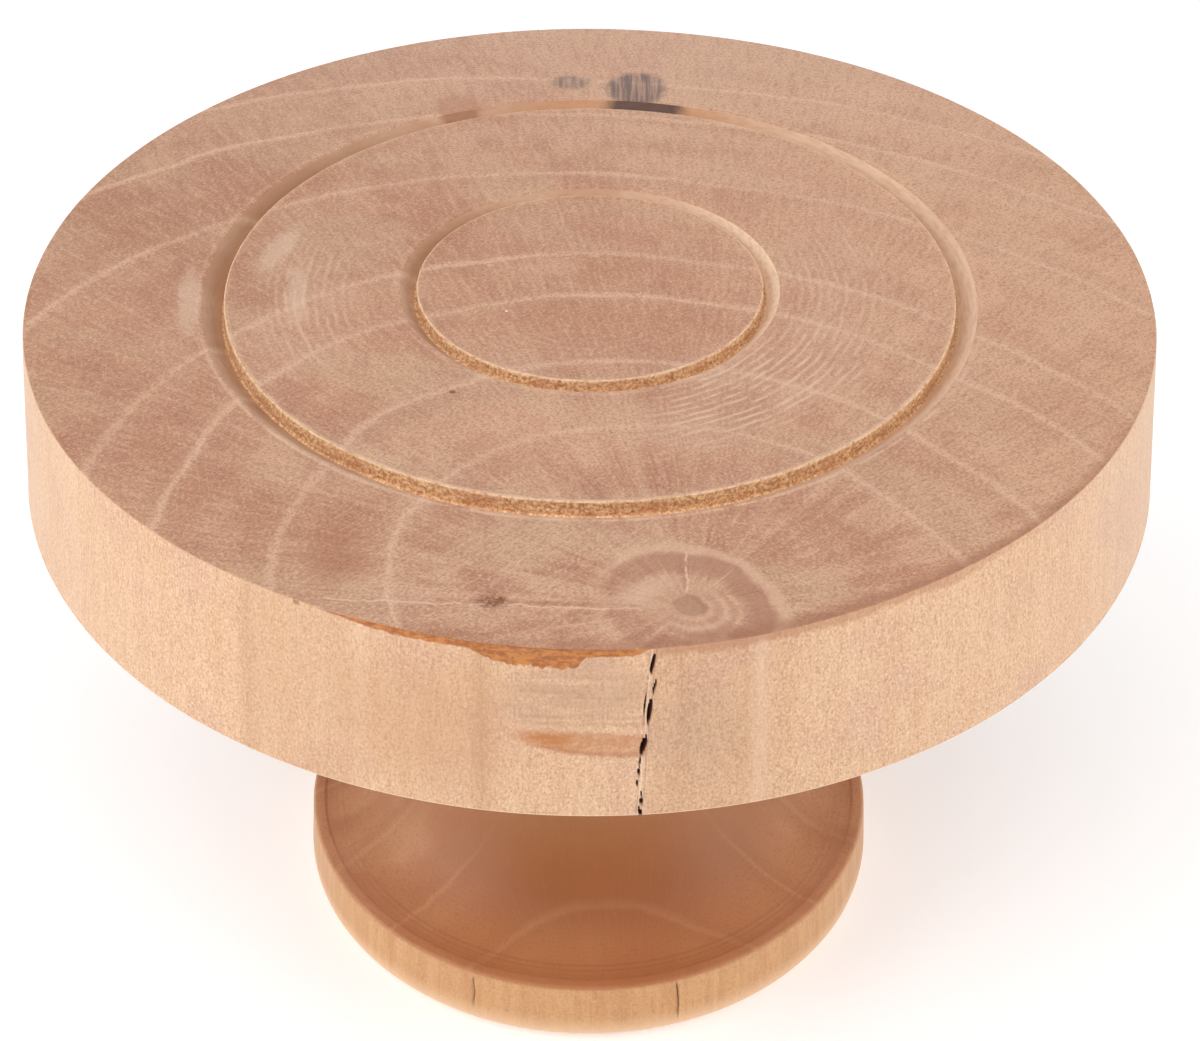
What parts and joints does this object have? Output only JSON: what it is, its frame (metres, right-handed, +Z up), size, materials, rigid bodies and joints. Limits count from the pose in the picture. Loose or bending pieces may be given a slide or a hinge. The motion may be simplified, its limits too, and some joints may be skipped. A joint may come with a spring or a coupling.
{
  "type": "turntable display stand",
  "caption": "Round turned-wood turntable stand: a disc with scribed circles spins freely on a flared pedestal, for working on or showing small models.",
  "frame": {"origin": "centre of the footprint, on the surface that the stand rests on", "axes": "+Z up along the turning axis; +X to the right and +Y away from the viewer, with the disc's grain centre towards -Y"},
  "size_m": [0.1236, 0.1236, 0.082],
  "materials": {
    "disc_wood": "bare end grain, matt, fine-sanded with lathe marks",
    "pedestal_wood": "bare turned end grain, matt",
    "bearing_steel": "ground bearing steel",
    "zinc_plate": "bright zinc plate",
    "black_steel": "black oxide",
    "cage_nylon": "moulded, natural nylon",
    "pad_rubber": "fine-pebbled, matt"
  },
  "bodies": {
    "base": {"pedestal": "pedestal_wood", "non_slip_pad": "pad_rubber", "upper_bearing_outer_ring": "bearing_steel", "upper_bearing_top_shield": "bearing_steel", "upper_bearing_bottom_shield": "bearing_steel", "lower_bearing_outer_ring": "bearing_steel", "lower_bearing_top_shield": "bearing_steel", "lower_bearing_bottom_shield": "bearing_steel"},
    "turntable": {"turntable_disc": "disc_wood", "flange_nut": "zinc_plate", "flange_screw_1": "zinc_plate", "flange_screw_2": "zinc_plate", "flange_screw_3": "zinc_plate", "spindle_bolt": "black_steel", "bolt_washer": "zinc_plate", "bearing_spacer": "zinc_plate", "upper_collar": "zinc_plate", "upper_bearing_inner_ring": "bearing_steel", "lower_bearing_inner_ring": "bearing_steel"},
    "upper_ball_set": {"upper_bearing_cage": "cage_nylon", "upper_bearing_ball_1": "bearing_steel", "upper_bearing_ball_2": "bearing_steel", "upper_bearing_ball_3": "bearing_steel", "upper_bearing_ball_4": "bearing_steel", "upper_bearing_ball_5": "bearing_steel", "upper_bearing_ball_6": "bearing_steel", "upper_bearing_ball_7": "bearing_steel"},
    "lower_ball_set": {"lower_bearing_cage": "cage_nylon", "lower_bearing_ball_1": "bearing_steel", "lower_bearing_ball_2": "bearing_steel", "lower_bearing_ball_3": "bearing_steel", "lower_bearing_ball_4": "bearing_steel", "lower_bearing_ball_5": "bearing_steel", "lower_bearing_ball_6": "bearing_steel", "lower_bearing_ball_7": "bearing_steel"}
  },
  "joints": [
    {"name": "disc_spin", "type": "hinge", "parent": "base", "child": "turntable", "pos_m": [0, 0, 0.0569], "axis": [0, 0, 1], "continuous": true},
    {"name": "upper_ball_orbit", "type": "hinge", "parent": "base", "child": "upper_ball_set", "pos_m": [0, 0, 0.0569], "axis": [0, 0, 1], "continuous": true},
    {"name": "lower_ball_orbit", "type": "hinge", "parent": "base", "child": "lower_ball_set", "pos_m": [0, 0, 0.0186], "axis": [0, 0, 1], "continuous": true}
  ],
  "couplings": [
    {"joint": "upper_ball_orbit", "follows": "disc_spin", "ratio": 0.3677},
    {"joint": "lower_ball_orbit", "follows": "disc_spin", "ratio": 0.3677}
  ]
}
